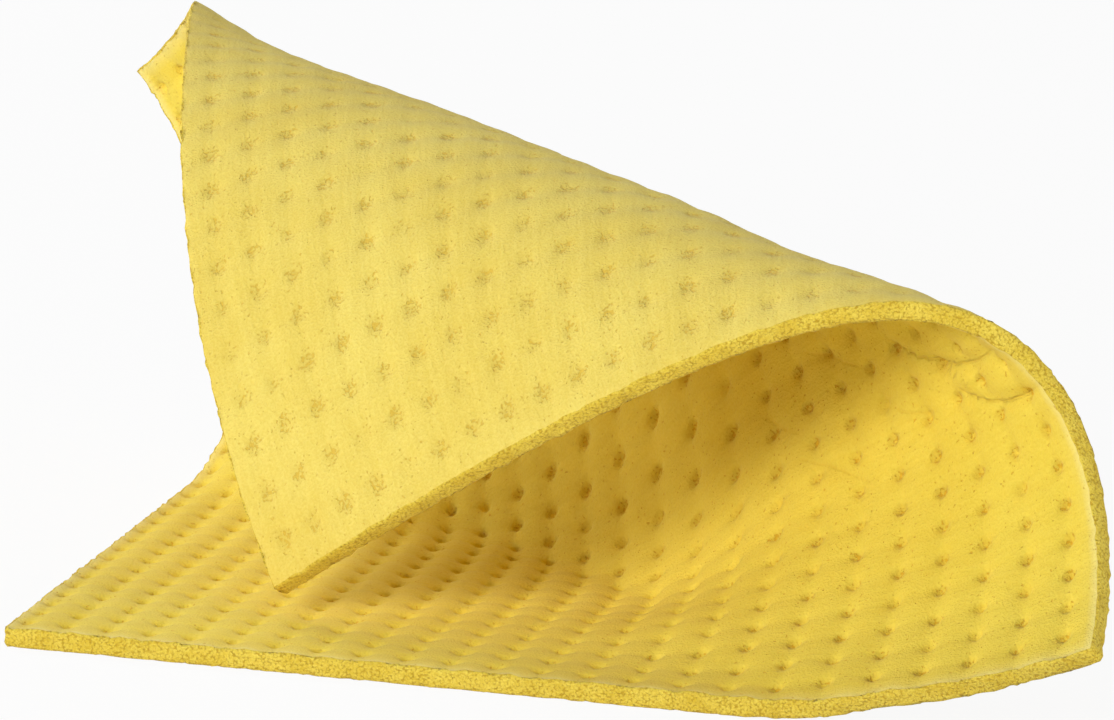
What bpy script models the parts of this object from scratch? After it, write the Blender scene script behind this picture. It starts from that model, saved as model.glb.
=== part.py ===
"""A yellow cellulose sponge cloth, bent over on itself into a loose cone, as one closed solid.

The cloth is a flat embossed sheet. One corner lies flat on the table, and from there the sheet
bends up, over and back down, so that its opposite corner comes to hang just above the table side.
X runs along the straight front edge, Y into the curl and Z up. The origin is the middle of the
bounding box, at table level. Everything is in metres.
"""

import itertools

import bmesh
import bpy
import numpy as np

# The flat cloth, before it was bent
CLOTH_WIDTH = 0.200
CLOTH_LENGTH = 0.213
THICKNESS = 0.0039

# Where the corner that lies flat on the table is
FLAT_CORNER = (-0.0847, -0.0862)

# The bend: its direction across the sheet, where it starts, and its radii at even steps after that
BEND_DIRECTION = np.radians(54.5)
BEND_START = 0.059
BEND_RADII = (0.066, 0.059, 0.048, 0.030, 0.0267, 0.0388, 0.073, 0.125, 0.161)

# The fan of the straight lines that the sheet bends about, per 0.1 m along the bend
FAN_STEP = 0.1
FAN_TURNS = tuple(np.radians(turn) for turn in (-9.7, -15.8, 7.9))

# Soft swells and dents of the dried sheet: height, then the middle and the reach as shares of
# the width and of the length
SWELLS = (
    (0.0026, (0.0, 1.0), (0.50, 0.36)),
    (-0.0054, (0.13, 1.0), (0.12, 0.235)),
    (-0.0010, (1.0, 0.0), (0.30, 0.30)),
    (-0.0063, (1.0, 1.0), (0.45, 0.45)),
    (0.0020, (0.55, 0.50), (0.22, 0.30)),
    (-0.0075, (0.0, 0.67), (0.34, 0.125)),
    (-0.0010, (0.75, 0.0), (0.20, 0.20)),
    (-0.0005, (0.85, 0.0), (0.10, 0.20)),
    (0.0015, (0.83, 0.48), (0.105, 0.09)),
)

# The belly, where the sheet's own weight presses it flat on the table
BELLY_MIDDLE = (0.40, 0.40)
BELLY_REACH = (0.22, 0.25)
BELLY_FLAT_BELOW = 0.009
BELLY_FREE_ABOVE = 0.050
TOUCH_DOWN = 0.004

# The embossing: rows of pits on the inner face, two grid cells a pit, and a softer waffle on the
# outer face, which is pressed out where the cloth lies on the table. From the first pit's place the
# spacing is even along the cloth, and across it grows a little from each column to the next
PITS_ACROSS = 24
PITS_ALONG = 29
FIRST_PIT = (0.0025, 0.0062)
PIT_SPACING = (0.0074, 0.00718)
SPACING_GROWTH = 0.000039
PIT_DEPTH = 0.0011
WAFFLE_DEPTH = 0.0004
VALLEY_SHARE = 0.2
WAFFLE_FREE_ABOVE = 0.004

# How finely the bend is worked out
PATH_STEPS = 240
PATH_MARGIN = 0.04
NEWTON_ROUNDS = 12
NORMAL_STEP = 0.00025

# Dyed cellulose, dull and pale
SPONGE_YELLOW = (0.80, 0.62, 0.11, 1.0)
SPONGE_ROUGHNESS = 0.95

PATH_HEADING = np.array((np.cos(BEND_DIRECTION), np.sin(BEND_DIRECTION)))
PATH_LENGTH = float(PATH_HEADING @ (CLOTH_WIDTH, CLOTH_LENGTH))


def smooth_step(value):
    """Goes from 0 to 1 as the value does, level at both ends."""
    value = np.clip(value, 0.0, 1.0)
    return value * value * (3.0 - 2.0 * value)


def bump(width, length, middle, reach, power):
    """A rounded hill, 1 at its middle and near 0 past its reach. The power flattens its top."""
    across = (width / CLOTH_WIDTH - middle[0]) / reach[0]
    along = (length / CLOTH_LENGTH - middle[1]) / reach[1]
    return np.exp(-(across**power) - along**power)


def fan_angle(place):
    """The angle from the bend's path to the sheet's straight line there: a right angle plus a cubic."""
    turn = (place - 0.5 * PATH_LENGTH) / FAN_STEP
    return 0.5 * np.pi + sum(rate * turn**power for power, rate in enumerate(FAN_TURNS, 1))


def fan_rate(place):
    """How fast that angle grows along the path."""
    turn = (place - 0.5 * PATH_LENGTH) / FAN_STEP
    growth = sum(power * rate * turn ** (power - 1) for power, rate in enumerate(FAN_TURNS, 1))
    return growth / FAN_STEP


def rotations(axis_angle, turn):
    """Turns about axes that lie in the sheet, as matrices in the sheet's own frame."""
    across, along = np.cos(axis_angle), np.sin(axis_angle)
    cosine, sine = np.cos(turn), np.sin(turn)
    rest = 1.0 - cosine
    rows = (
        (cosine + across * across * rest, across * along * rest, along * sine),
        (across * along * rest, cosine + along * along * rest, -across * sine),
        (-along * sine, across * sine, cosine),
    )
    return np.moveaxis(np.array(rows), 2, 0)


def bent_path():
    """Walks along the bend, turning the sheet a little about each of its straight lines.

    It gives the places on the path and, at each, the point, the straight line's direction and the
    sheet's normal, as columns.
    """
    places = np.linspace(-PATH_MARGIN, PATH_LENGTH + PATH_MARGIN, PATH_STEPS + 1)
    step = places[1] - places[0]
    middles = places[:-1] + 0.5 * step
    stations = np.linspace(BEND_START, PATH_LENGTH, len(BEND_RADII) + 1)
    curvature = np.interp(middles, stations, (0.0, *(1.0 / radius for radius in BEND_RADII)))
    turns = rotations(fan_angle(middles), -curvature * step)
    half_turns = rotations(fan_angle(middles), -0.5 * curvature * step)
    level = np.eye(3)
    level[:2, 0] = PATH_HEADING
    level[:2, 1] = -PATH_HEADING[1], PATH_HEADING[0]
    frames = np.array(list(itertools.accumulate(turns, np.matmul, initial=level)))
    headings = np.einsum("nij,nj->ni", frames[:-1], half_turns[:, :, 0])
    start = np.array([(*(PATH_HEADING * places[0]), 0.0)])
    points = np.concatenate((start, start + np.cumsum(headings * step, axis=0)))
    angle = fan_angle(places)[:, None]
    lines = np.cos(angle) * frames[:, :, 0] + np.sin(angle) * frames[:, :, 1]
    return places, np.concatenate((points, lines, frames[:, :, 2]), axis=1)


PATH_PLACES, PATH_VALUES = bent_path()


def line_through(width, length):
    """The place on the path whose straight line holds a point of the flat sheet, and how far along it.

    The point has no offset across its own line, and Newton's method finds the place where that is so.
    """
    place = width * PATH_HEADING[0] + length * PATH_HEADING[1]
    along = np.zeros_like(place)
    for _ in range(NEWTON_ROUNDS):
        heading = BEND_DIRECTION + fan_angle(place)
        aside = width - place * PATH_HEADING[0]
        ahead = length - place * PATH_HEADING[1]
        along = aside * np.cos(heading) + ahead * np.sin(heading)
        across = aside * np.sin(heading) - ahead * np.cos(heading)
        place = place - across / (along * fan_rate(place) - np.sin(fan_angle(place)))
    return place, along


def settled(height, width, length, place):
    """Heights above the table once the sheet's weight has pressed its belly flat."""
    weight = bump(width, length, BELLY_MIDDLE, BELLY_REACH, 4)
    free = smooth_step((height - BELLY_FLAT_BELOW) / (BELLY_FREE_ABOVE - BELLY_FLAT_BELOW))
    pressed = height * (1.0 - weight + weight * free)
    landed = np.maximum(pressed, 0.0) * smooth_step(pressed / TOUCH_DOWN)
    return np.where(place < 0.5 * PATH_LENGTH, landed, pressed)


def middle_surface(width, length):
    """Points halfway through the cloth: along its straight line, off it by the swells, and settled."""
    place, along = line_through(width, length)
    values = [np.interp(place, PATH_PLACES, column) for column in PATH_VALUES.T]
    point, line, normal = np.split(np.stack(values, axis=-1), 3, axis=-1)
    swell = sum(height * bump(width, length, *shape, 2) for height, *shape in SWELLS)
    surface = point + along[..., None] * line + swell[..., None] * normal
    surface[..., 2] = settled(surface[..., 2], width, length, place) + 0.5 * THICKNESS
    return surface + (*FLAT_CORNER, 0.0)


def surface_normals(width, length):
    """Unit normals, towards the cloth's inner face, from the slopes along its two edges."""
    step = NORMAL_STEP
    across = middle_surface(width + step, length) - middle_surface(width - step, length)
    along = middle_surface(width, length + step) - middle_surface(width, length - step)
    normals = np.cross(across, along)
    return normals / np.linalg.norm(normals, axis=-1, keepdims=True)


def grid_places(share, first, spacing, growth, pits, size):
    """The number and the place of each grid line: on the pits, halfway between, and on both edges.

    The number counts pits, so that it is whole on a row of them. The place is a quadratic of it.
    """
    line = np.rint(2 * pits * share)
    number = 0.5 * (line - 1.0)
    place = first + spacing * number + growth * number**2
    place = np.where(line == 0, 0.0, place)
    return number, np.where(line == 2 * pits, size, place)


def embossing(column, row):
    """How deep the embossing is, from 0 on a pillow to 1 in a pit: two rows of waves, crossed."""
    across = 0.5 + 0.5 * np.cos(2.0 * np.pi * column)
    along = 0.5 + 0.5 * np.cos(2.0 * np.pi * row)
    return (1.0 - VALLEY_SHARE) * across * along + 0.5 * VALLEY_SHARE * (across + along)


def sponge_material():
    """Dyed cellulose sponge: dull all over, because its pores scatter the light."""
    material = bpy.data.materials.new("cellulose_sponge")
    material.use_nodes = True
    shader = material.node_tree.nodes["Principled BSDF"]
    shader.inputs["Base Color"].default_value = SPONGE_YELLOW
    shader.inputs["Roughness"].default_value = SPONGE_ROUGHNESS
    shader.inputs["Metallic"].default_value = 0.0
    material.diffuse_color = SPONGE_YELLOW
    return material


def outer_face_mesh():
    """A grid over the cloth, laid on its outer face, and the cloth's thickness at each vertex."""
    grid = bmesh.new()
    bmesh.ops.create_grid(grid, x_segments=2 * PITS_ACROSS, y_segments=2 * PITS_ALONG, size=0.5)
    shares = np.array([vertex.co[:2] for vertex in grid.verts]) + 0.5
    across = FIRST_PIT[0], PIT_SPACING[0], SPACING_GROWTH, PITS_ACROSS, CLOTH_WIDTH
    along = FIRST_PIT[1], PIT_SPACING[1], 0.0, PITS_ALONG, CLOTH_LENGTH
    column, width = grid_places(shares[:, 0], *across)
    row, length = grid_places(shares[:, 1], *along)
    middle = middle_surface(width, length)
    depth = embossing(column, row)
    waffle = WAFFLE_DEPTH * depth * smooth_step((middle[:, 2] - 0.5 * THICKNESS) / WAFFLE_FREE_ABOVE)
    lift = waffle - 0.5 * THICKNESS
    points = middle + lift[:, None] * surface_normals(width, length)
    for vertex, point in zip(grid.verts, points):
        vertex.co = point
    mesh = bpy.data.meshes.new("sponge_cloth")
    grid.to_mesh(mesh)
    grid.free()
    return mesh, THICKNESS - waffle - PIT_DEPTH * depth


def sponge_cloth(collection):
    """The cloth: its outer face, thickened towards the inner face and least of all in the pits."""
    mesh, thicknesses = outer_face_mesh()
    cloth = bpy.data.objects.new("sponge_cloth", mesh)
    collection.objects.link(cloth)
    mesh.materials.append(sponge_material())
    mesh.shade_smooth()
    group = cloth.vertex_groups.new(name="thickness")
    for index, thickness in enumerate(thicknesses):
        group.add([index], float(thickness) / THICKNESS, "REPLACE")
    shell = cloth.modifiers.new("cloth thickness", "SOLIDIFY")
    shell.thickness = THICKNESS
    shell.offset = 1.0
    shell.vertex_group = group.name


def main():
    for old in list(bpy.data.objects):
        bpy.data.objects.remove(old, do_unlink=True)
    collection = bpy.data.collections.new("sponge cloth")
    bpy.context.scene.collection.children.link(collection)
    sponge_cloth(collection)


main()
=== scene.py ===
"""The looks of a bent cellulose sponge cloth: its embossing, creases, cut edges, finish and stage.

It is laid out as a Blender add-on and run as a script. Everything is in metres, in the frame of the
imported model: X along the cloth's front edge, Y into the curl and Z up, with the table at Z = 0.
"""

import itertools

import bpy
import numpy as np
from bpy.props import FloatProperty, FloatVectorProperty, PointerProperty
from bpy.types import Operator, Panel, PropertyGroup
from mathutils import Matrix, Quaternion, Vector


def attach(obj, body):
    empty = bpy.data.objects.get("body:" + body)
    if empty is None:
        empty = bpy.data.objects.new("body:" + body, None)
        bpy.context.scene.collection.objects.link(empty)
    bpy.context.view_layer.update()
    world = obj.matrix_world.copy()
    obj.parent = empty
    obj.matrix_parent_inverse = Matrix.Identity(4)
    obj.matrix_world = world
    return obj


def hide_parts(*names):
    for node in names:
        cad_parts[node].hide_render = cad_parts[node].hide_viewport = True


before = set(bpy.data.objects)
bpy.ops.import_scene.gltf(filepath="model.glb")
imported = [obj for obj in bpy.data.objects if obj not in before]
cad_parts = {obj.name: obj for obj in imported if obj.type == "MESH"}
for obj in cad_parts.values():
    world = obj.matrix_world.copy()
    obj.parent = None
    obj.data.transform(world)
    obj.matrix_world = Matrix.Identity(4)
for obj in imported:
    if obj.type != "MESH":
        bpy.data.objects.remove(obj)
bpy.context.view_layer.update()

bl_info = {
    "name": "Sponge cloth",
    "version": (1, 0, 0),
    "blender": (4, 5, 0),
    "location": "3D View > Sidebar > Sponge cloth",
    "description": "Adds a bent cellulose sponge cloth and a pale studio stage",
    "category": "Add Mesh",
}

CLOTH_NODE = "sponge_cloth"
MM = 0.001

# The bend, the same as the solid's: its direction, its start, and its radii at even steps after that. Its
# straight lines fan out by a cubic, with a turn for each power of the fan steps from the path's middle
BEND_DIRECTION = np.radians(54.5)
BEND_START = 0.059
BEND_RADII = (0.066, 0.059, 0.048, 0.030, 0.0267, 0.0388, 0.073, 0.125, 0.161)
FAN_STEP = 0.1
FAN_TURNS = tuple(np.radians(turn) for turn in (-9.7, -15.8, 7.9))
FLAT_CORNER = (-0.0847, -0.0862)

# Soft swells off the bend: the height, then the middle and the reach as shares of the cloth's size
SWELLS = (
    (0.0026, (0.0, 1.0), (0.50, 0.36)),
    (-0.0054, (0.13, 1.0), (0.12, 0.235)),
    (-0.0010, (1.0, 0.0), (0.30, 0.30)),
    (-0.0063, (1.0, 1.0), (0.45, 0.45)),
    (0.0020, (0.55, 0.50), (0.22, 0.30)),
    (-0.0075, (0.0, 0.67), (0.34, 0.125)),
    (-0.0010, (0.75, 0.0), (0.20, 0.20)),
    (-0.0005, (0.85, 0.0), (0.10, 0.20)),
    (0.0015, (0.83, 0.48), (0.105, 0.09)),
)

# The belly that the sheet's weight presses flat: its middle and reach as shares of the cloth's size, the
# height below which it is pressed to the table, and the one above which it is free. Below the touch-down
# height the sheet meets the table in a soft curve
BELLY_MIDDLE = (0.40, 0.40)
BELLY_REACH = (0.22, 0.25)
BELLY_FLAT_BELOW = 0.009
BELLY_FREE_ABOVE = 0.050
TOUCH_DOWN = 0.004

# How finely the bend is worked out
PATH_STEPS = 240
PATH_MARGIN = 0.04
NEWTON_ROUNDS = 12
NORMAL_STEP = 0.00025
ARC_STEPS = 40

# The embossing's lattice: the first pit from the front left corner, the spacing there, how much the
# spacing across grows from one column to the next, and how much it has grown halfway
FIRST_PIT = (2.5 * MM, 6.2 * MM)
PIT_SPACING = (7.4 * MM, 7.18 * MM)
SPACING_GROWTH = 0.039 * MM
MIDDLE_GROWTH = 0.9 * MM

# The numbers that its columns and rows may have, with a few to spare beyond the cloth
LATTICE_NUMBERS = (-4, 36)

# The depths' shares of the valleys along the columns and along the rows
INNER_VALLEYS = (0.72, 0.28)
OUTER_VALLEYS = (0.7, 0.3)

# How deep single pits and dimples are against the given depth: the least share, and the random rest
PIT_VARIETY = (0.65, 0.5)
DIMPLE_VARIETY = (0.4, 0.9)

# A pit's raised lip, and a crease's bulge beside its groove: the height as a share of the depth, then the
# distance and the half width, in pit radii and in the groove's half widths
PIT_LIP = (0.08, 1.9, 0.5)
CREASE_BULGE = (0.45, 2.8, 1.6)

# How much wider a dimple of the outer face is than a pit of the inner one
DIMPLE_SPREAD = 2.1

# The outer face has no dimples where it lies on the table: it has them from the first height, and they
# are whole when it is higher by the second
DIMPLED_FROM = 0.2 * MM
DIMPLED_WITHIN = 4.0 * MM

# The slanting cut: the share of the cloth's length where it starts, and in which it comes to its full slant
SLANT_FROM = 0.3
SLANT_WITHIN = 0.4

# Where the mesh's lines fall between one pit and the next, as shares of the spacing
LINES_ACROSS = (-0.5, -0.29, -0.15, -0.07, 0.0, 0.07, 0.15, 0.29)
LINES_ALONG = (-0.36, -0.18, -0.08, 0.0, 0.08, 0.18, 0.36)

# The cut edge: where its rows lie through the thickness, and how far each stands out of the face's rim
RIM_ROWS = (0.43, 0.27, 0.09, -0.09, -0.27, -0.43)
RIM_REACH = (0.28 * MM, 0.38 * MM, 0.40 * MM, 0.40 * MM, 0.38 * MM, 0.28 * MM)
RIM_GAP = 0.3 * MM

# Waves that roughen the surface: the shortest, the longest and how many of them, at the cut and all over.
# The faces' borders have a share of the cut's roughness, and beside them it falls off from a lesser one
CUT_WAVES = (0.9 * MM, 4.0 * MM, 40)
SKIN_WAVES = (2.0 * MM, 9.0 * MM, 30)
SKIN_ROUGHNESS = 0.04 * MM
BORDER_SHARE = 0.8
BESIDE_SHARE = 0.35
BESIDE_REACH = 1.2 * MM
# How far the painted highlight along the inner face's rim reaches
RIM_HIGHLIGHT_REACH = 1.1 * MM

# Creases that the tight bend presses into the inner face, in millimetres: the start, middle and end on
# the flat cloth, the depth and the half width. Beyond the fade from its line a crease leaves no mark
CREASES = (
    ((164.0, 83.0), (179.0, 69.2), (199.0, 67.2), 1.2, 1.0),
    ((176.0, 66.5), (184.8, 58.8), (199.4, 56.3), 1.3, 1.0),
    ((141.0, 88.5), (149.0, 84.0), (157.0, 77.5), 0.6, 1.0),
    ((158.5, 69.8), (163.5, 66.2), (169.5, 64.0), 0.7, 0.9),
    ((134.0, 71.0), (144.2, 63.2), (152.0, 56.5), 0.6, 1.1),
    ((128.0, 84.5), (133.6, 77.4), (138.5, 73.0), 0.5, 1.1),
    ((182.0, 78.5), (187.2, 75.4), (193.0, 73.2), 0.5, 0.9),
)
CREASE_FADE = 2.6 * MM

# Sizes of the finish's patterns, in millimetres. Real crumbs and cells of such a sponge are about 0.3 mm,
# and are drawn coarser, so that they show. The press leaves streaks about 10 mm long and 1.1 mm wide,
# which follow the embossing's lattice: their stretch is in lattice steps, along and across them
CRUMB_SIZE = 0.6
CELL_SIZE = 0.45
GRAIN_SIZE = 0.42
CELL_GRAIN_SIZE = 0.35
BLOTCH_SIZE = 6.0
PATCH_SIZE = 24.0
CUT_PATCH_SIZE = 5.0
STREAK_SIZE = 1.1
STREAK_STRETCH = (0.9, 7.0, 0.0)
# The half width of the line along each crease, for its painted shade and its bump
CREASE_LINE = 0.55

# The camera, fitted to the photograph, which is 1114 pixels wide: angles in degrees, lengths in metres
PHOTO_WIDTH = 1114
SENSOR_WIDTH = 36.0
FOCAL_PIXELS = 14500.0
CAMERA_AZIMUTH = -14.87
CAMERA_ELEVATION = 13.28
CAMERA_ROLL = 1.65
CAMERA_DISTANCE = 2.7925
CAMERA_TARGET = (-0.0514, 0.1638, 0.0)

# The stage: its soft boxes' azimuth, elevation and side, the point they face and their distance from it
SOFT_BOXES = {
    "front": (-16.0, 25.0, 0.6),
    "right": (75.0, 8.0, 0.6),
    "left": (-75.0, 10.0, 0.6),
    "back": (-130.0, 40.0, 0.8),
}
LIT_POINT = (0.0, 0.0, 0.03)
LAMP_DISTANCE = 1.7
FLOOR_REACH = 4.0
FLOOR_DROP = 0.1 * MM


def smooth_step(value):
    """Goes from 0 to 1 as the value does, level at both ends."""
    value = np.clip(value, 0.0, 1.0)
    return value * value * (3.0 - 2.0 * value)


def ripples(points, shortest, longest, waves, seed):
    """A seeded random field, about -1 to 1: sine waves in all directions, added and scaled."""
    random = np.random.default_rng(seed)
    directions = random.normal(size=(waves, points.shape[-1]))
    directions /= np.linalg.norm(directions, axis=1, keepdims=True)
    rates = 2.0 * np.pi * directions / np.geomspace(shortest, longest, waves)[:, None]
    phases = random.uniform(0.0, 2.0 * np.pi, waves)
    return np.sin(points @ rates.T + phases).sum(axis=-1) / np.sqrt(waves)


class BentSheet:
    """The cloth's middle surface and its normals, as a function of the place on the flat cloth."""

    def __init__(self, width, length, thickness):
        self.size = (width, length)
        self.thickness = thickness
        self.heading = np.array((np.cos(BEND_DIRECTION), np.sin(BEND_DIRECTION)))
        self.path_length = float(self.heading @ self.size)
        self.places, self.values = self.bent_path()

    def bump(self, across, along, middle, reach, power):
        """A rounded hill: e to minus the distances from its middle, in reaches, to a power."""
        across = (across / self.size[0] - middle[0]) / reach[0]
        along = (along / self.size[1] - middle[1]) / reach[1]
        return np.exp(-(across**power) - along**power)

    def fan_angle(self, place):
        """From the bend's path to the sheet's straight line there: a right angle plus a cubic."""
        turn = (place - 0.5 * self.path_length) / FAN_STEP
        return 0.5 * np.pi + sum(rate * turn**power for power, rate in enumerate(FAN_TURNS, 1))

    def fan_rate(self, place):
        """The slope of that cubic along the path."""
        turn = (place - 0.5 * self.path_length) / FAN_STEP
        growth = sum(power * rate * turn ** (power - 1) for power, rate in enumerate(FAN_TURNS, 1))
        return growth / FAN_STEP

    def bent_path(self):
        """Walks along the bend, turning the sheet a little about each of its straight lines.

        Each turn is the rotation by curvature times step, and the frames are their running product.
        """
        places = np.linspace(-PATH_MARGIN, self.path_length + PATH_MARGIN, PATH_STEPS + 1)
        step = places[1] - places[0]
        middles = places[:-1] + 0.5 * step
        stations = np.linspace(BEND_START, self.path_length, len(BEND_RADII) + 1)
        curvature = np.interp(middles, stations, (0.0, *(1.0 / radius for radius in BEND_RADII)))
        turns = rotations(self.fan_angle(middles), -curvature * step)
        half_turns = rotations(self.fan_angle(middles), -0.5 * curvature * step)
        level = np.eye(3)
        level[:2, 0] = self.heading
        level[:2, 1] = -self.heading[1], self.heading[0]
        frames = np.array(list(itertools.accumulate(turns, np.matmul, initial=level)))
        headings = np.einsum("nij,nj->ni", frames[:-1], half_turns[:, :, 0])
        start = np.array([(*(self.heading * places[0]), 0.0)])
        points = np.concatenate((start, start + np.cumsum(headings * step, axis=0)))
        angle = self.fan_angle(places)[:, None]
        lines = np.cos(angle) * frames[:, :, 0] + np.sin(angle) * frames[:, :, 1]
        return places, np.concatenate((points, lines, frames[:, :, 2]), axis=1)

    def line_through(self, across, along):
        """The place on the path whose straight line holds a point, and how far along that line it is.

        Newton's method finds the place where the point has no offset across its line.
        """
        place = across * self.heading[0] + along * self.heading[1]
        reach = np.zeros_like(place)
        for _ in range(NEWTON_ROUNDS):
            heading = BEND_DIRECTION + self.fan_angle(place)
            aside = across - place * self.heading[0]
            ahead = along - place * self.heading[1]
            reach = aside * np.cos(heading) + ahead * np.sin(heading)
            offset = aside * np.sin(heading) - ahead * np.cos(heading)
            place = place - offset / (reach * self.fan_rate(place) - np.sin(self.fan_angle(place)))
        return place, reach

    def settled(self, height, across, along, place):
        """Heights above the table once the sheet's weight has pressed its belly flat."""
        weight = self.bump(across, along, BELLY_MIDDLE, BELLY_REACH, 4)
        free = smooth_step((height - BELLY_FLAT_BELOW) / (BELLY_FREE_ABOVE - BELLY_FLAT_BELOW))
        pressed = height * (1.0 - weight + weight * free)
        landed = np.maximum(pressed, 0.0) * smooth_step(pressed / TOUCH_DOWN)
        return np.where(place < 0.5 * self.path_length, landed, pressed)

    def middle(self, across, along):
        """Halfway through the cloth: along the straight line, off it by the swells, and settled."""
        place, reach = self.line_through(across, along)
        values = [np.interp(place, self.places, column) for column in self.values.T]
        point, line, normal = np.split(np.stack(values, axis=-1), 3, axis=-1)
        swell = sum(height * self.bump(across, along, *shape, 2) for height, *shape in SWELLS)
        surface = point + reach[..., None] * line + swell[..., None] * normal
        height = self.settled(surface[..., 2], across, along, place)
        surface[..., 2] = height + 0.5 * self.thickness
        return surface + (*FLAT_CORNER, 0.0), height

    def normals(self, across, along):
        """Unit normals, towards the inner face, from the slopes along the cloth's two edges."""
        step = NORMAL_STEP
        slope_across = self.middle(across + step, along)[0] - self.middle(across - step, along)[0]
        slope_along = self.middle(across, along + step)[0] - self.middle(across, along - step)[0]
        normals = np.cross(slope_across, slope_along)
        return normals / np.linalg.norm(normals, axis=-1, keepdims=True)


def rotations(axis_angle, turn):
    """Turns about axes that lie in the sheet, as matrices in the sheet's own frame."""
    across, along = np.cos(axis_angle), np.sin(axis_angle)
    cosine, sine = np.cos(turn), np.sin(turn)
    rest = 1.0 - cosine
    rows = (
        (cosine + across * across * rest, across * along * rest, along * sine),
        (across * along * rest, cosine + along * along * rest, -across * sine),
        (-along * sine, across * sine, cosine),
    )
    return np.moveaxis(np.array(rows), 2, 0)


def column_number(across):
    """Which column of pits a place lies at: the root of first + spacing c + growth c squared."""
    spacing = PIT_SPACING[0]
    room = spacing * spacing + 4.0 * SPACING_GROWTH * (across - FIRST_PIT[0])
    return (np.sqrt(room) - spacing) / (2.0 * SPACING_GROWTH)


def row_number(along):
    """Which row of pits a place lies at."""
    return (along - FIRST_PIT[1]) / PIT_SPACING[1]


def column_place(number):
    """Where a column of pits lies across the cloth. Before the first one, the growth turns round."""
    return FIRST_PIT[0] + PIT_SPACING[0] * number + SPACING_GROWTH * number * abs(number)


def row_place(number):
    """Where a row of pits lies along the cloth."""
    return FIRST_PIT[1] + PIT_SPACING[1] * number


def mesh_lines(shares, place_of, length, inset):
    """The mesh's lines from one edge to the other: a few for each pit, and one at each rim."""
    numbers = (np.arange(*LATTICE_NUMBERS)[:, None] + np.array(shares)).ravel()
    lines = place_of(numbers)
    inside = lines[(lines > inset + RIM_GAP) & (lines < length - inset - RIM_GAP)]
    return np.concatenate(([inset], inside, [length - inset]))


def pit_distance(column, row):
    """How far a place is from the nearest pit's middle, in metres."""
    across = (column - np.round(column)) * (PIT_SPACING[0] + 2.0 * SPACING_GROWTH * column)
    along = (row - np.round(row)) * PIT_SPACING[1]
    return np.hypot(across, along)


def pit_character(column, row, variety, seed):
    """A random share of the depth for each pit, the same all over that pit: the least plus the rest."""
    least, rest = variety
    first, last = LATTICE_NUMBERS
    table = np.random.default_rng(seed).uniform(0.0, 1.0, (last - first, last - first))
    return least + rest * table[np.round(column).astype(int) - first, np.round(row).astype(int) - first]


def valleys(column, row, shares):
    """1 along the columns and rows of pits and -1 midway: a weighted sum of the numbers' cosines."""
    return shares[0] * np.cos(2 * np.pi * column) + shares[1] * np.cos(2 * np.pi * row)


def beside_arc(across, along, knots):
    """How far places are from an arc, which side of it they are on, and how it fades at its ends.

    The arc is the quadratic through its three points, walked in even steps. It fades over its first
    and last quarters.
    """
    share = np.linspace(0.0, 1.0, ARC_STEPS)
    weights = np.stack(((1 - share) * (1 - 2 * share), 4 * share * (1 - share), share * (2 * share - 1)))
    arc = weights.T @ (np.array(knots) * MM)
    heading = np.gradient(arc, axis=0)
    heading /= np.linalg.norm(heading, axis=1, keepdims=True)
    gaps = np.hypot(across[..., None] - arc[:, 0], along[..., None] - arc[:, 1])
    nearest = gaps.argmin(axis=-1)
    ahead, aside = heading[nearest].T
    side = ahead * (along - arc[nearest, 1]) - aside * (across - arc[nearest, 0])
    fade = smooth_step(4.0 * share[nearest]) * smooth_step(4.0 * (1.0 - share[nearest]))
    return gaps.min(axis=-1), side, fade


def crease_depth(across, along):
    """How deep the creases are: for each, a bell curve of the distance to its arc, fading at its ends.

    Beside its groove the skin bulges a little, by a second bell curve.
    """
    bulge, bulge_distance, bulge_width = CREASE_BULGE
    depth = np.zeros_like(across)
    for *knots, deep, half_width in CREASES:
        distance, _, fade = beside_arc(across, along, knots)
        distance = distance / (half_width * MM)
        profile = np.exp(-(distance**2)) - bulge * np.exp(-(((distance - bulge_distance) / bulge_width) ** 2))
        depth += deep * MM * fade * profile
    return depth


def crease_lines(across, along):
    """For the finish: how far to one side of the nearest crease a place is, in mm, and its strength, for the
    painted shade and the bump along the creases.
    """
    aside = np.zeros_like(across)
    strength = np.zeros_like(across)
    closest = np.full_like(across, np.inf)
    for *knots, deep, _ in CREASES:
        distance, side, fade = beside_arc(across, along, knots)
        here = deep * fade * smooth_step((CREASE_FADE - distance) / (0.4 * CREASE_FADE))
        nearer = distance < closest
        aside = np.where(nearer, side, aside)
        strength = np.where(nearer, here, strength)
        closest = np.minimum(closest, distance)
    return aside / MM, strength


def inner_relief(sizes, across, along):
    """The inner face against the flat one: soft valleys along the pits' columns and rows, then pits.

    The valleys are cosines of the column and row numbers. A pit is e to minus the fourth power of the
    distance to its middle, less a bell curve round it for its faint raised lip.
    """
    column, row = column_number(across), row_number(along)
    valley = valleys(column, row, INNER_VALLEYS)
    distance = pit_distance(column, row) / sizes.pit_radius
    character = pit_character(column, row, PIT_VARIETY, 3)
    lip, lip_distance, lip_width = PIT_LIP
    pit = character * np.exp(-(distance**4)) - lip * np.exp(-(((distance - lip_distance) / lip_width) ** 2))
    return -sizes.valley_depth * 0.5 * (1 + valley) - sizes.pit_depth * pit - crease_depth(across, along)


def outer_relief(sizes, across, along):
    """The outer face against the flat one: shallow valleys, and a bell-shaped dimple at each pit."""
    column, row = column_number(across), row_number(along)
    distance = pit_distance(column, row) / (DIMPLE_SPREAD * sizes.pit_radius)
    character = pit_character(column, row, DIMPLE_VARIETY, 5)
    valley = valleys(column, row, OUTER_VALLEYS)
    return -sizes.dimple_depth * (character * np.exp(-(distance**2)) + 0.3 * (1 + valley))


def border_ring(grid):
    """The numbers of the points round a grid's border, in order, and the way outwards at each."""
    ring = np.concatenate((grid[:-1, 0], grid[-1, :-1], grid[:0:-1, -1], grid[0, :0:-1]))
    side = np.zeros((*grid.shape, 2))
    side[0, :, 0] -= 1.0
    side[-1, :, 0] += 1.0
    side[:, 0, 1] -= 1.0
    side[:, -1, 1] += 1.0
    return ring, side.reshape(-1, 2)[ring]


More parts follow.
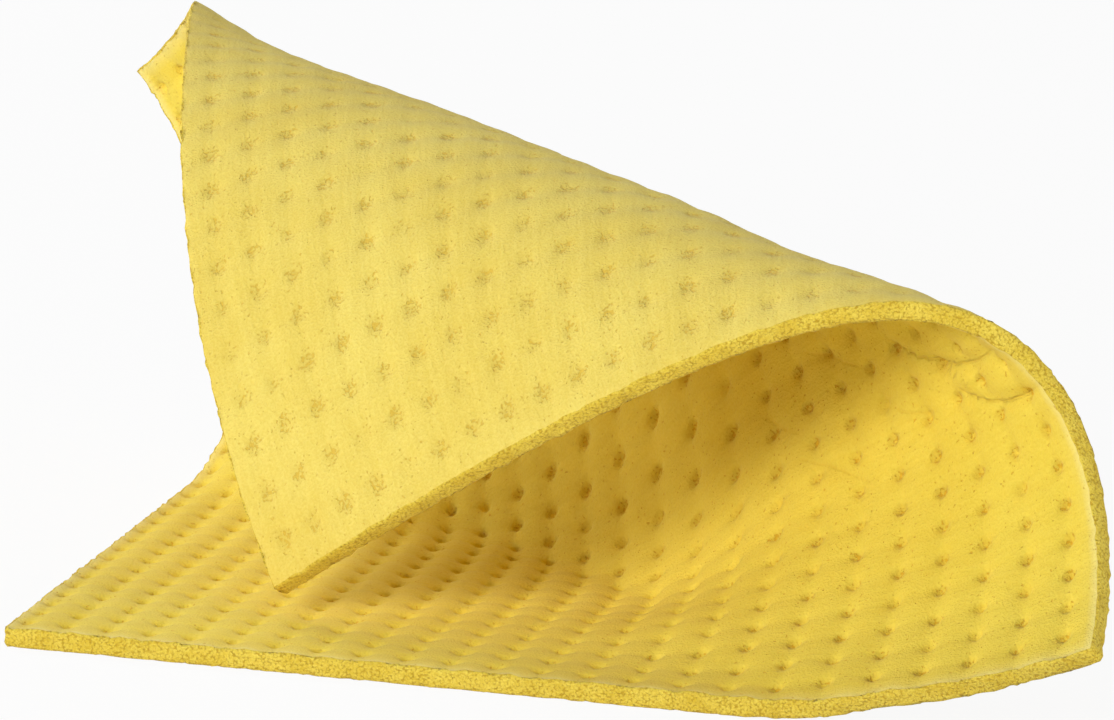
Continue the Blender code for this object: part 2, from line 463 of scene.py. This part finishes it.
def cut_rows(sheet, rim, outwards, setback):
    """The cut edge's rows of points, from the inner face's rim to the outer's, and their flat places.

    Each row is the rim moved outwards by its reach, at its depth through the thickness. The cut slants,
    so a row also moves inwards, by more of the setback the nearer it is to the outer face.
    """
    points, places = [], []
    for depth, reach in zip(RIM_ROWS, RIM_REACH):
        place = rim + reach * outwards
        place[:, 0] -= (0.5 - depth) * setback * place[:, 0] / sheet.size[0]
        middle, _ = sheet.middle(place[:, 0], place[:, 1])
        normal = sheet.normals(place[:, 0], place[:, 1])
        points.append(middle + depth * sheet.thickness * normal)
        places.append(place)
    return points, places


def roughened(points, rough, amount):
    """The points, moved by random waves: a little all over, and more where the roughness is."""
    shake = np.stack([ripples(points, *CUT_WAVES, seed) for seed in (11, 12, 13)], axis=-1)
    points = points + amount * rough[:, None] * shake
    points += SKIN_ROUGHNESS * np.stack([ripples(points, *SKIN_WAVES, seed) for seed in (21, 22, 23)], -1)
    points[:, 2] = np.maximum(points[:, 2], 0.0)
    return points


def cloth_surface(sizes):
    """The whole skin of the cloth: points, faces, flat places, each face's finish, and the marks.

    The two faces are grids over the flat cloth, at plus and minus half the thickness along the normal.
    The cut edge is rows of points round the rim, from one face's border to the other's. The marks, for
    the finish, are the distance to a crease, its strength, and how near the inner face's rim is; from
    them the finish paints shade along the creases and a highlight along that rim.
    """
    sheet = BentSheet(sizes.width, sizes.length, sizes.thickness)
    inset = max(RIM_REACH)
    columns = mesh_lines(LINES_ACROSS, column_place, sizes.width, inset)
    rows = mesh_lines(LINES_ALONG, row_place, sizes.length, inset)
    across, along = np.meshgrid(columns, rows, indexing="ij")
    across, along = across.ravel(), along.ravel()
    flat = np.stack((across, along), axis=-1)
    count = len(across)
    grid = np.arange(count).reshape(len(columns), len(rows))
    border, outwards = border_ring(grid)

    middle, height = sheet.middle(across, along)
    normal = sheet.normals(across, along)
    inner = middle + (0.5 * sizes.thickness + inner_relief(sizes, across, along))[:, None] * normal
    setback = sizes.edge_setback * smooth_step((along / sizes.length - SLANT_FROM) / SLANT_WITHIN)
    outer_across = across * (1.0 - setback / sizes.width)
    outer_middle, _ = sheet.middle(outer_across, along)
    outer_normal = sheet.normals(outer_across, along)
    lift = outer_relief(sizes, across, along) * smooth_step((height - DIMPLED_FROM) / DIMPLED_WITHIN)
    outer = outer_middle - (0.5 * sizes.thickness + lift)[:, None] * outer_normal
    cut_points, cut_places = cut_rows(sheet, flat[border], outwards, setback[border])
    points = np.concatenate((inner, outer, *cut_points))
    places = np.concatenate((flat, flat, *cut_places))

    quads = np.stack((grid[:-1, :-1], grid[1:, :-1], grid[1:, 1:], grid[:-1, 1:]), axis=-1).reshape(-1, 4)
    around = np.arange(len(border))
    rings = [2 * count + row * len(border) + around for row in range(len(RIM_ROWS))]
    rings = [border, *rings, count + border]
    bands = [
        np.stack((upper, lower, np.roll(lower, -1), np.roll(upper, -1)), axis=-1)
        for upper, lower in zip(rings[:-1], rings[1:])
    ]
    faces = np.concatenate((quads, count + quads[:, ::-1], *bands))
    finish = np.repeat((0, 1, 2), (len(quads), len(quads), len(bands) * len(border)))

    left, front = places.T
    nearness = np.minimum.reduce((left, sizes.width - left, front, sizes.length - front))
    rough = np.zeros(len(points))
    rough[2 * count :] = 1.0
    rough[border] = BORDER_SHARE
    rough[count + border] = BORDER_SHARE
    rough = np.maximum(rough, BESIDE_SHARE * np.exp(-nearness / BESIDE_REACH))
    points = roughened(points, rough, sizes.edge_roughness)

    marks = np.zeros((len(points), 3))
    marks[:count, 0], marks[:count, 1] = crease_lines(across, along)
    # How near the inner face's rim is, for its painted highlight
    marks[:count, 2] = np.exp(-(((nearness[:count] - inset) / RIM_HIGHLIGHT_REACH) ** 2))
    return points, faces, places, finish, marks


def new_mesh(name, points, faces):
    """A mesh of quads from arrays of points and faces."""
    mesh = bpy.data.meshes.new(name)
    mesh.vertices.add(len(points))
    mesh.vertices.foreach_set("co", points.astype(np.float32).ravel())
    mesh.loops.add(faces.size)
    mesh.loops.foreach_set("vertex_index", faces.astype(np.int32).ravel())
    mesh.polygons.add(len(faces))
    mesh.polygons.foreach_set("loop_start", np.arange(0, faces.size, faces.shape[1], dtype=np.int32))
    mesh.update(calc_edges=True)
    mesh.validate()
    return mesh


def linear(hex_colour):
    """An sRGB hex colour as linear red, green, blue and alpha."""
    shares = np.array([int(hex_colour[k : k + 2], 16) for k in (1, 3, 5)]) / 255.0
    curve = np.where(shares <= 0.04045, shares / 12.92, ((shares + 0.055) / 1.055) ** 2.4)
    return (*(float(value) for value in curve), 1.0)


def add_node(material, kind, sockets=None, **settings):
    """Adds a node with its settings. A socket is given a value, or a node or one of its outputs to link."""
    new = material.node_tree.nodes.new(kind)
    for name, value in settings.items():
        setattr(new, name, value)
    for socket, value in (sockets or {}).items():
        source = value.outputs[0] if isinstance(value, bpy.types.Node) else value
        if isinstance(source, bpy.types.NodeSocket):
            material.node_tree.links.new(source, new.inputs[socket])
        else:
            new.inputs[socket].default_value = source
    return new


def pattern(material, place, size, low, high, detail=2.0):
    """A random pattern of spots of about a size in millimetres, from 0 below low to 1 above high."""
    noise = add_node(
        material, "ShaderNodeTexNoise", {"Vector": place, "Scale": 1.0 / size, "Detail": detail}
    )
    return add_node(
        material,
        "ShaderNodeMapRange",
        {"Value": noise, "From Min": low, "From Max": high},
        interpolation_type="SMOOTHSTEP",
    )


def millimetres(material):
    """The place on the cloth in millimetres, for patterns of a real size."""
    place = add_node(material, "ShaderNodeTexCoord").outputs["Object"]
    return add_node(material, "ShaderNodeVectorMath", {0: place, "Scale": 1.0 / MM}, operation="SCALE")


def pit_nearness(material, lattice, reach):
    """1 in the middle of each embossed pit and 0 from a reach in millimetres, off the lattice's map."""
    half = (0.5, 0.5, 0.0)
    spacing = ((PIT_SPACING[0] + MIDDLE_GROWTH) / MM, PIT_SPACING[1] / MM, 0.0)
    shifted = add_node(material, "ShaderNodeVectorMath", {0: lattice, 1: half}, operation="ADD")
    within = add_node(material, "ShaderNodeVectorMath", {0: shifted}, operation="FRACTION")
    offset = add_node(material, "ShaderNodeVectorMath", {0: within, 1: half}, operation="SUBTRACT")
    sized = add_node(material, "ShaderNodeVectorMath", {0: offset, 1: spacing}, operation="MULTIPLY")
    distance = add_node(material, "ShaderNodeVectorMath", {0: sized}, operation="LENGTH").outputs["Value"]
    return add_node(
        material,
        "ShaderNodeMapRange",
        {"Value": distance, "From Min": reach, "From Max": 0.2 * reach},
        interpolation_type="SMOOTHSTEP",
    )


def finish_sponge(material, colour, coarse, coarse_depth, fine, fine_depth):
    """Regenerated cellulose: dull, a little furry, and glowing where light passes through thin walls."""
    shader = material.node_tree.nodes["Principled BSDF"]
    grainy = add_node(material, "ShaderNodeBump", {"Height": fine, "Distance": fine_depth})
    bumped = add_node(
        material, "ShaderNodeBump", {"Height": coarse, "Distance": coarse_depth, "Normal": grainy}
    )
    material.node_tree.links.new(colour, shader.inputs["Base Color"])
    material.node_tree.links.new(bumped.outputs[0], shader.inputs["Normal"])
    shader.inputs["Roughness"].default_value = 0.9
    shader.inputs["Specular IOR Level"].default_value = 0.6
    shader.inputs["Sheen Weight"].default_value = 0.05
    shader.inputs["Sheen Roughness"].default_value = 0.5
    shader.inputs["Subsurface Weight"].default_value = 0.12
    shader.inputs["Subsurface Radius"].default_value = (1.0, 0.8, 0.25)
    shader.inputs["Subsurface Scale"].default_value = 1.2 * MM


def skin_material(name, skin, shade, pore_and_shade, pore_reach, pore_and_shade_tint, crater_reach, crater_depth):
    """The sponge's pressed skin: closed, with fine pores that open in a group at each pit.

    The pores' reach is how wide a group is, in millimetres, and their tint how much deeper its colour
    looks, partly the pores' own colour and partly painted shade in the pit. The crater is the pit's steep
    wall, which the mesh has only coarsely. On the inner face, the creases get a thin line of painted
    shade, and the rim a painted highlight.
    """
    material = bpy.data.materials.new(name)
    material.use_nodes = True
    place = millimetres(material)
    lattice = add_node(material, "ShaderNodeUVMap", uv_map="lattice")
    marks = add_node(material, "ShaderNodeAttribute", attribute_name="marks").outputs["Vector"]
    aside, strength, rim = add_node(material, "ShaderNodeSeparateXYZ", {0: marks}).outputs

    # The skin's tone: broad patches, streaks left by the press, and the fine grain of the closed cells
    stretched = add_node(
        material, "ShaderNodeVectorMath", {0: lattice, 1: STREAK_STRETCH}, operation="MULTIPLY"
    )
    patches = pattern(material, place, PATCH_SIZE, 0.36, 0.64)
    streaks = pattern(material, stretched, STREAK_SIZE, 0.34, 0.66, 1.0)
    grain = pattern(material, place, GRAIN_SIZE, 0.30, 0.70, 1.0)
    faint = add_node(material, "ShaderNodeMath", {0: streaks, 1: 0.20}, operation="MULTIPLY")
    soft = add_node(material, "ShaderNodeMath", {0: grain, 1: 0.45, 2: faint}, operation="MULTIPLY_ADD")
    tone = add_node(material, "ShaderNodeMath", {0: patches, 1: 0.35, 2: soft}, operation="MULTIPLY_ADD")
    closed = add_node(material, "ShaderNodeMix", {0: tone, 6: shade, 7: skin}, data_type="RGBA").outputs[2]

    # Pores: the crumbs between cells break through the skin here and there, and mostly at the pits
    crumbs = add_node(
        material, "ShaderNodeTexNoise", {"Vector": place, "Scale": 1.0 / CRUMB_SIZE, "Detail": 1.0}
    )
    uneven = pattern(material, place, BLOTCH_SIZE, 0.10, 0.60, 0.0)
    group = pit_nearness(material, lattice, pore_reach)
    opening = add_node(material, "ShaderNodeMath", {0: group, 1: uneven}, operation="MULTIPLY")
    opened = add_node(material, "ShaderNodeMath", {0: opening, 1: 0.22, 2: crumbs}, operation="MULTIPLY_ADD")
    pores = add_node(
        material,
        "ShaderNodeMapRange",
        {"Value": opened, "From Min": 0.68, "From Max": 0.76},
        interpolation_type="SMOOTHSTEP",
    )

    # Creases: painted shade, a thin line of deeper colour along the middle of each groove
    gap = add_node(material, "ShaderNodeMath", {0: aside}, operation="ABSOLUTE")
    line = add_node(
        material,
        "ShaderNodeMapRange",
        {"Value": gap, "From Min": CREASE_LINE, "From Max": 0.0},
        interpolation_type="SMOOTHSTEP",
    )
    crease = add_node(material, "ShaderNodeMath", {0: line, 1: strength}, operation="MULTIPLY")

    # The colour: paler towards the rim, a painted highlight; deeper in pores; deeper towards the pits, partly
    # pore tint and partly painted shade; and deeper along creases, painted shade
    dark = add_node(material, "ShaderNodeMath", {0: pores, 1: 0.8}, operation="MULTIPLY")
    # Pore tint and painted shade: deeper amber towards the middle of each pit
    hollow = add_node(material, "ShaderNodeMath", {0: opening, 1: pore_and_shade_tint}, operation="MULTIPLY")
    painted_shade_and_pore_tint = add_node(material, "ShaderNodeMath", {0: crease, 1: 0.20, 2: hollow}, operation="MULTIPLY_ADD")
    pores_and_painted_shade = add_node(material, "ShaderNodeMath", {0: dark, 1: painted_shade_and_pore_tint}, operation="MAXIMUM")
    # Painted highlight: paler towards the inner face's rim
    rim_highlight = add_node(material, "ShaderNodeMath", {0: rim, 1: 0.5}, operation="MULTIPLY")
    highlighted = add_node(
        material, "ShaderNodeMix", {0: rim_highlight, 6: closed, 7: linear("#FBF0A6")}, data_type="RGBA"
    ).outputs[2]
    colour = add_node(material, "ShaderNodeMix", {0: pores_and_painted_shade, 6: highlighted, 7: pore_and_shade}, data_type="RGBA").outputs[2]

    # The bump: shallow pores, then the craters' walls and the creases, and fuzz over all
    crater = pit_nearness(material, lattice, crater_reach)
    wall = add_node(material, "ShaderNodeMath", {0: crater, 1: uneven}, operation="MULTIPLY")
    pitted = add_node(material, "ShaderNodeMath", {0: wall, 1: crater_depth}, operation="MULTIPLY")
    creased = add_node(material, "ShaderNodeMath", {0: crease, 1: 0.22, 2: pitted}, operation="MULTIPLY_ADD")
    sunk = add_node(material, "ShaderNodeMath", {0: pores, 1: 0.12, 2: creased}, operation="MULTIPLY_ADD")
    surface = add_node(material, "ShaderNodeMath", {0: sunk, 1: -1.0}, operation="MULTIPLY")
    fuzz = add_node(material, "ShaderNodeMath", {0: streaks, 1: 0.5, 2: grain}, operation="MULTIPLY_ADD")
    finish_sponge(material, colour, surface, 1.0 * MM, fuzz, 0.06 * MM)
    material.diffuse_color = skin
    return material


def inner_skin(sizes):
    """The embossed skin inside the curl: pressed smooth, so an even deep yellow, with pores in the pits,
    tinted deeper there partly by painted shade.
    """
    return skin_material(
        "cellulose_sponge_inner_skin",
        skin=sizes.inner_colour,
        shade=linear("#EBCE40"),
        pore_and_shade=linear("#E0AE14"),
        pore_reach=1.6,
        pore_and_shade_tint=0.16,
        crater_reach=1.6,
        crater_depth=0.42,
    )


def outer_skin(sizes):
    """The outer skin: less pressed, so a little paler and rougher, with fine amber pores at each pit, their
    tint partly painted shade.
    """
    return skin_material(
        "cellulose_sponge_outer_skin",
        skin=sizes.outer_colour,
        shade=linear("#E7CB52"),
        pore_and_shade=linear("#E3BC3C"),
        pore_reach=2.7,
        pore_and_shade_tint=0.12,
        crater_reach=2.2,
        crater_depth=0.20,
    )


def cut_edge(sizes):
    """The knife-cut edge, where every cell is cut open: bright crumbs between dark olive hollows."""
    material = bpy.data.materials.new("cellulose_sponge_cut_edge")
    material.use_nodes = True
    place = millimetres(material)
    cells = add_node(
        material, "ShaderNodeTexVoronoi", {"Vector": place, "Scale": 1.0 / CELL_SIZE, "Randomness": 1.0}
    ).outputs["Distance"]
    hollow = add_node(
        material,
        "ShaderNodeMapRange",
        {"Value": cells, "From Min": 0.45, "From Max": 0.90},
        interpolation_type="SMOOTHSTEP",
    )
    grain = pattern(material, place, CELL_GRAIN_SIZE, 0.35, 0.65, 1.0)
    patches = pattern(material, place, CUT_PATCH_SIZE, 0.35, 0.65)
    broad = add_node(material, "ShaderNodeMath", {0: patches, 1: 0.4}, operation="MULTIPLY")
    tone = add_node(material, "ShaderNodeMath", {0: grain, 1: 0.6, 2: broad}, operation="MULTIPLY_ADD")
    crumb = add_node(
        material, "ShaderNodeMix", {0: tone, 6: linear("#DDBC2C"), 7: sizes.cut_colour}, data_type="RGBA"
    ).outputs[2]
    colour = add_node(
        material, "ShaderNodeMix", {0: hollow, 6: crumb, 7: linear("#C6A11C")}, data_type="RGBA"
    ).outputs[2]
    solid = add_node(material, "ShaderNodeMath", {0: 1.0, 1: hollow}, operation="SUBTRACT")
    finish_sponge(material, colour, solid, 0.11 * MM, grain, 0.05 * MM)
    material.diffuse_color = sizes.cut_colour
    return material


def floor_material(sizes):
    """A white paper sweep. The camera sees it as nearly plain white, with a faint shadow on it."""
    material = bpy.data.materials.new("white_paper_sweep")
    material.use_nodes = True
    nodes = material.node_tree.nodes
    shader = nodes["Principled BSDF"]
    shader.inputs["Base Color"].default_value = linear("#F2F2F2")
    shader.inputs["Roughness"].default_value = 0.9
    seen = add_node(material, "ShaderNodeLightPath").outputs["Is Camera Ray"]
    share = add_node(material, "ShaderNodeMath", {0: seen, 1: sizes.floor_whiteness}, operation="MULTIPLY")
    white = add_node(material, "ShaderNodeEmission", {"Color": (1.0, 1.0, 1.0, 1.0), "Strength": 1.0})
    blend = add_node(material, "ShaderNodeMixShader", {0: share, 1: shader, 2: white})
    material.node_tree.links.new(blend.outputs[0], nodes["Material Output"].inputs["Surface"])
    return material


def soft_box(name, azimuth, elevation, size, power):
    """A square soft box that faces the cloth. Azimuth 0 is in front of it, and positive to its right."""
    turn, rise = np.radians(azimuth), np.radians(elevation)
    towards = Vector((np.sin(turn) * np.cos(rise), -np.cos(turn) * np.cos(rise), np.sin(rise)))
    light = bpy.data.lights.new(name, "AREA")
    light.shape = "SQUARE"
    light.size = size
    light.energy = power
    lamp = bpy.data.objects.new(name, light)
    bpy.context.scene.collection.objects.link(lamp)
    lamp.location = Vector(LIT_POINT) + LAMP_DISTANCE * towards
    lamp.rotation_mode = "QUATERNION"
    lamp.rotation_quaternion = (-towards).to_track_quat("-Z", "Y")


class ClothSizes(PropertyGroup):
    """What a user may change: the flat cloth, its embossing, edges and colours, and the stage's light."""

    width: FloatProperty(
        name="Width", description="The flat cloth along its front edge", default=0.200, unit="LENGTH"
    )
    length: FloatProperty(
        name="Length", description="The flat cloth along its side", default=0.213, unit="LENGTH"
    )
    thickness: FloatProperty(
        name="Thickness", description="Between the two faces", default=0.0039, unit="LENGTH"
    )
    pit_depth: FloatProperty(
        name="Pit depth", description="Of the inner face's pits", default=0.0011, unit="LENGTH"
    )
    pit_radius: FloatProperty(
        name="Pit radius", description="Of the inner face's pits", default=0.0012, unit="LENGTH"
    )
    valley_depth: FloatProperty(
        name="Valleys", description="Between the inner face's pillows", default=0.0008, unit="LENGTH"
    )
    dimple_depth: FloatProperty(
        name="Dimples", description="Of the outer face", default=0.0005, unit="LENGTH"
    )
    edge_setback: FloatProperty(
        name="Edge setback", description="Of the outer face at the slanting cut", default=0.001, unit="LENGTH"
    )
    edge_roughness: FloatProperty(
        name="Edge roughness", description="Of the torn cells at the cut", default=0.00014, unit="LENGTH"
    )
    inner_colour: FloatVectorProperty(
        name="Inner skin", description="Inside the curl", default=linear("#F5DC52"), size=4, subtype="COLOR"
    )
    outer_colour: FloatVectorProperty(
        name="Outer skin", description="On the flap", default=linear("#F3DD6C"), size=4, subtype="COLOR"
    )
    cut_colour: FloatVectorProperty(
        name="Cut edge", description="Of its crumbs", default=linear("#F0D752"), size=4, subtype="COLOR"
    )
    floor_whiteness: FloatProperty(
        name="Floor whiteness", description="Share seen as plain white", default=0.92, subtype="FACTOR"
    )
    front_power: FloatProperty(
        name="Front light", description="Power of the main soft box", default=19.2, unit="POWER"
    )
    right_power: FloatProperty(
        name="Right light", description="Power of the soft box on the right", default=13.8, unit="POWER"
    )
    left_power: FloatProperty(
        name="Left light", description="Power of the soft box on the left", default=6.6, unit="POWER"
    )
    back_power: FloatProperty(
        name="Back light", description="Power of the soft box behind", default=10.5, unit="POWER"
    )
    world_level: FloatProperty(name="Surroundings", description="Light from all around", default=0.03)


class SPONGE_OT_add_cloth(Operator):
    """Add the bent sponge cloth, with its three finishes"""

    bl_idname = "sponge.add_cloth"
    bl_label = "Add sponge cloth"

    def execute(self, context):
        sizes = context.scene.sponge_cloth
        points, faces, places, finish, marks = cloth_surface(sizes)
        mesh = new_mesh("bent_sponge_cloth", points, faces)
        if len(mesh.polygons) != len(faces):
            raise RuntimeError("the cloth's mesh has faulty faces")
        mesh.polygons.foreach_set("material_index", finish.astype(np.int32))
        mesh.polygons.foreach_set("use_smooth", np.ones(len(faces), bool))
        lattice = np.stack((column_number(places[:, 0]), row_number(places[:, 1])), axis=-1)
        layer = mesh.uv_layers.new(name="lattice")
        layer.data.foreach_set("uv", lattice[faces.ravel()].astype(np.float32).ravel())
        attribute = mesh.attributes.new("marks", "FLOAT_VECTOR", "POINT")
        attribute.data.foreach_set("vector", marks.astype(np.float32).ravel())
        for material in (inner_skin(sizes), outer_skin(sizes), cut_edge(sizes)):
            mesh.materials.append(material)
        cloth = bpy.data.objects.new("bent_sponge_cloth", mesh)
        context.scene.collection.objects.link(cloth)
        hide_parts(CLOTH_NODE)
        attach(cloth, "root")
        return {"FINISHED"}


class SPONGE_OT_add_stage(Operator):
    """Add the pale floor, the soft light and the camera"""

    bl_idname = "sponge.add_stage"
    bl_label = "Add stage"

    def execute(self, context):
        scene = context.scene
        sizes = scene.sponge_cloth
        corners = np.array(((-1, -1, 0), (1, -1, 0), (1, 1, 0), (-1, 1, 0))) * FLOOR_REACH
        mesh = new_mesh("floor", corners, np.array([(0, 1, 2, 3)]))
        mesh.materials.append(floor_material(sizes))
        floor = bpy.data.objects.new("floor", mesh)
        scene.collection.objects.link(floor)
        floor.location.z = -FLOOR_DROP
        for side, placing in SOFT_BOXES.items():
            soft_box(f"{side}_soft_box", *placing, getattr(sizes, f"{side}_power"))
        self.add_world(scene, sizes)
        self.add_camera(scene)
        scene.view_settings.view_transform = "Standard"
        return {"FINISHED"}

    def add_world(self, scene, sizes):
        """White where the camera and mirror rays look, and an even dim light for the cloth."""
        world = bpy.data.worlds.new("white_studio")
        world.use_nodes = True
        tree = world.node_tree
        background = tree.nodes["Background"]
        background.inputs["Color"].default_value = (1.0, 1.0, 1.0, 1.0)
        rays = add_node(world, "ShaderNodeLightPath").outputs
        mirrored = add_node(
            world, "ShaderNodeMath", {0: rays["Is Camera Ray"], 1: rays["Is Glossy Ray"]}, operation="MAXIMUM"
        )
        seen = add_node(
            world, "ShaderNodeMath", {0: mirrored, 1: rays["Is Transmission Ray"]}, operation="MAXIMUM"
        )
        level = add_node(
            world, "ShaderNodeMapRange", {"Value": seen, "To Min": sizes.world_level, "To Max": 1.0}
        )
        tree.links.new(level.outputs[0], background.inputs["Strength"])
        scene.world = world

    def add_camera(self, scene):
        """A long lens from far off, a little above and to the right, rolled slightly."""
        azimuth, elevation = np.radians(CAMERA_AZIMUTH), np.radians(CAMERA_ELEVATION)
        forward = Vector(
            (np.sin(azimuth) * np.cos(elevation), np.cos(azimuth) * np.cos(elevation), -np.sin(elevation))
        )
        data = bpy.data.cameras.new("camera")
        data.sensor_width = SENSOR_WIDTH
        data.lens = FOCAL_PIXELS / PHOTO_WIDTH * SENSOR_WIDTH
        camera = bpy.data.objects.new("camera", data)
        scene.collection.objects.link(camera)
        camera.location = Vector(CAMERA_TARGET) - CAMERA_DISTANCE * forward
        camera.rotation_mode = "QUATERNION"
        roll = Quaternion((0.0, 0.0, 1.0), np.radians(CAMERA_ROLL))
        camera.rotation_quaternion = forward.to_track_quat("-Z", "Y") @ roll
        scene.camera = camera


class SPONGE_PT_panel(Panel):
    """Lists the operators and the sizes"""

    bl_idname = "SPONGE_PT_panel"
    bl_label = "Sponge cloth"
    bl_space_type = "VIEW_3D"
    bl_region_type = "UI"
    bl_category = "Sponge cloth"

    def draw(self, context):
        layout = self.layout
        for name in ("sponge.add_cloth", "sponge.add_stage"):
            layout.operator(name)
        for name in ClothSizes.__annotations__:
            layout.prop(context.scene.sponge_cloth, name)


CLASSES = (ClothSizes, SPONGE_OT_add_cloth, SPONGE_OT_add_stage, SPONGE_PT_panel)


def register():
    """Tells Blender of the classes, and gives each scene its sizes."""
    for cls in CLASSES:
        bpy.utils.register_class(cls)
    bpy.types.Scene.sponge_cloth = PointerProperty(type=ClothSizes)


def unregister():
    """Takes back what register did."""
    del bpy.types.Scene.sponge_cloth
    for cls in reversed(CLASSES):
        bpy.utils.unregister_class(cls)


def main():
    """Adds the stage and the cloth."""
    register()
    bpy.ops.sponge.add_stage()
    bpy.ops.sponge.add_cloth()


if __name__ == "__main__":
    main()
